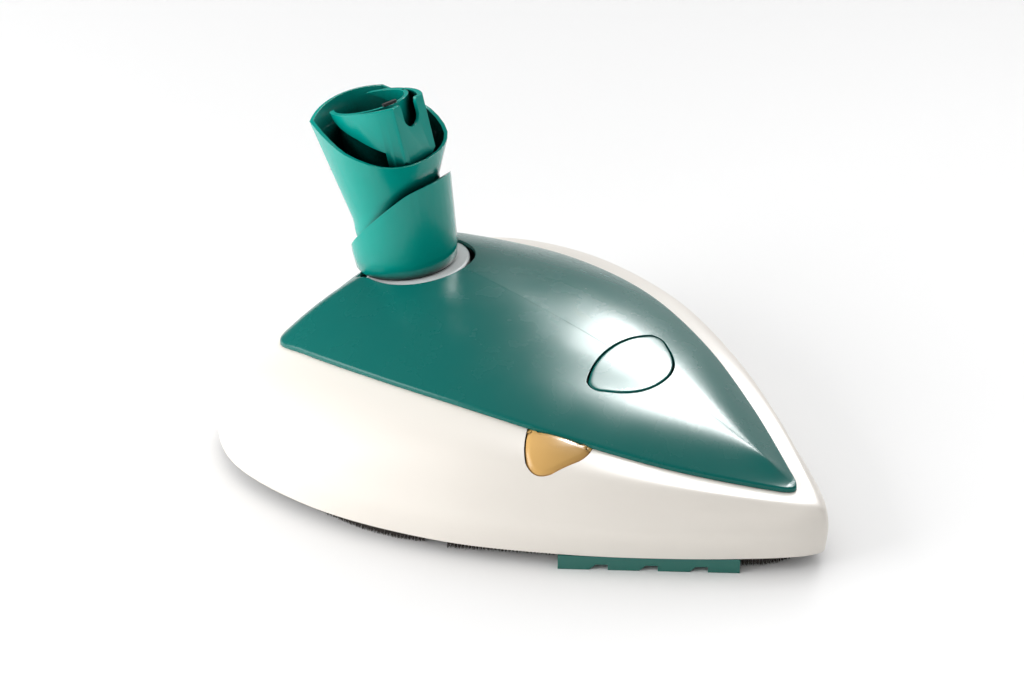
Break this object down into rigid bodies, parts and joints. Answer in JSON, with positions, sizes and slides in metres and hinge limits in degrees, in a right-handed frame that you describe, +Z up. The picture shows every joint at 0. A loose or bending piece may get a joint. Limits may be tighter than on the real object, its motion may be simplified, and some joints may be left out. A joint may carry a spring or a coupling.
{
  "type": "manual vacuum head",
  "caption": "Teardrop floor head for a household vacuum, with a swivelling and tilting neck, a foot button that lifts the bristle frame, and notched glide combs.",
  "frame": {"origin": "on the floor, at the middle of the bounding box", "axes": "+X towards the pointed nose, +Y towards the head's left side, +Z up"},
  "size_m": [0.3187, 0.244, 0.1713],
  "materials": {
    "white_shell": "moulded, satin gloss",
    "teal_cover": "moulded, glossy",
    "teal_neck": "moulded, glossy, slightly brighter than the cover",
    "gold_trim": "moulded, pearly gold",
    "comb_green": "moulded, matt",
    "bristle": "dense short bristles",
    "grey_plastic": "moulded, satin",
    "dark_plastic": "moulded, matt",
    "rubber": "matt rubber",
    "steel": "bright"
  },
  "bodies": {
    "housing": {"housing_shell": "white_shell", "top_cover": "teal_cover", "sole_plate": "dark_plastic", "suction_duct": "dark_plastic", "neck_seat": "grey_plastic", "lever_bracket_left": "dark_plastic", "lever_bracket_right": "dark_plastic", "foot_button_spring": "steel", "comb_strip_left": "comb_green", "comb_strip_right": "comb_green", "wheel_axle_left": "steel", "wheel_axle_right": "steel", "sole_screw_1": "steel", "sole_screw_2": "steel", "sole_screw_3": "steel", "sole_screw_4": "steel", "sole_screw_5": "steel"},
    "turntable": {"neck_cup": "teal_neck", "neck_retainer": "steel", "neck_seal": "rubber", "neck_pin_left": "steel", "neck_pin_right": "steel"},
    "collar": {"neck_collar": "teal_neck", "connector_shroud": "teal_neck", "connector_duct": "teal_neck", "connector_seal": "rubber", "connector_pad": "grey_plastic", "connector_snap_left": "dark_plastic", "connector_snap_right": "dark_plastic"},
    "button": {"foot_button": "teal_cover"},
    "rocker": {"rocker_lever": "grey_plastic"},
    "brushes": {"brush_frame": "dark_plastic", "bristle_nose": "bristle", "bristle_rear_left": "bristle", "bristle_rear_right": "bristle", "bristle_side_left": "bristle", "bristle_side_right": "bristle"},
    "side_button": {"side_button": "gold_trim"},
    "wheel_left": {"wheel_left": "rubber"},
    "wheel_right": {"wheel_right": "rubber"}
  },
  "joints": [
    {"name": "neck_swivel", "type": "hinge", "parent": "housing", "child": "turntable", "pos_m": [-0.095, 0, 0.079], "axis": [-0.1219, 0, 0.9925], "range_deg": [-90, 90]},
    {"name": "neck_tilt", "type": "hinge", "parent": "turntable", "child": "collar", "pos_m": [-0.09807, 0, 0.10401], "axis": [0, -1, 0], "range_deg": [-4, 46]},
    {"name": "foot_button_press", "type": "slide", "parent": "housing", "child": "button", "axis": [-0.2334, 0, -0.9724], "range_m": [0, 0.00401], "deforming": ["foot_button_spring"]},
    {"name": "rocker_turn", "type": "hinge", "parent": "housing", "child": "rocker", "pos_m": [0.01, 0, 0.041], "axis": [0, 1, 0], "range_deg": [0, 7]},
    {"name": "brush_lift", "type": "slide", "parent": "housing", "child": "brushes", "axis": [0, 0, 1], "range_m": [0, 0.00486]},
    {"name": "side_button_press", "type": "slide", "parent": "housing", "child": "side_button", "axis": [-0.2896, 0.3295, -0.8987], "range_m": [0, 0.003]},
    {"name": "wheel_left_spin", "type": "hinge", "parent": "housing", "child": "wheel_left", "pos_m": [-0.12, 0.06, 0.011], "axis": [0, 1, 0], "continuous": true},
    {"name": "wheel_right_spin", "type": "hinge", "parent": "housing", "child": "wheel_right", "pos_m": [-0.12, -0.06, 0.011], "axis": [0, 1, 0], "continuous": true}
  ],
  "couplings": [
    {"joint": "foot_button_press", "follows": "brush_lift", "ratio": 0.82273},
    {"joint": "rocker_turn", "follows": "brush_lift", "rad_per_m": 22.222}
  ]
}
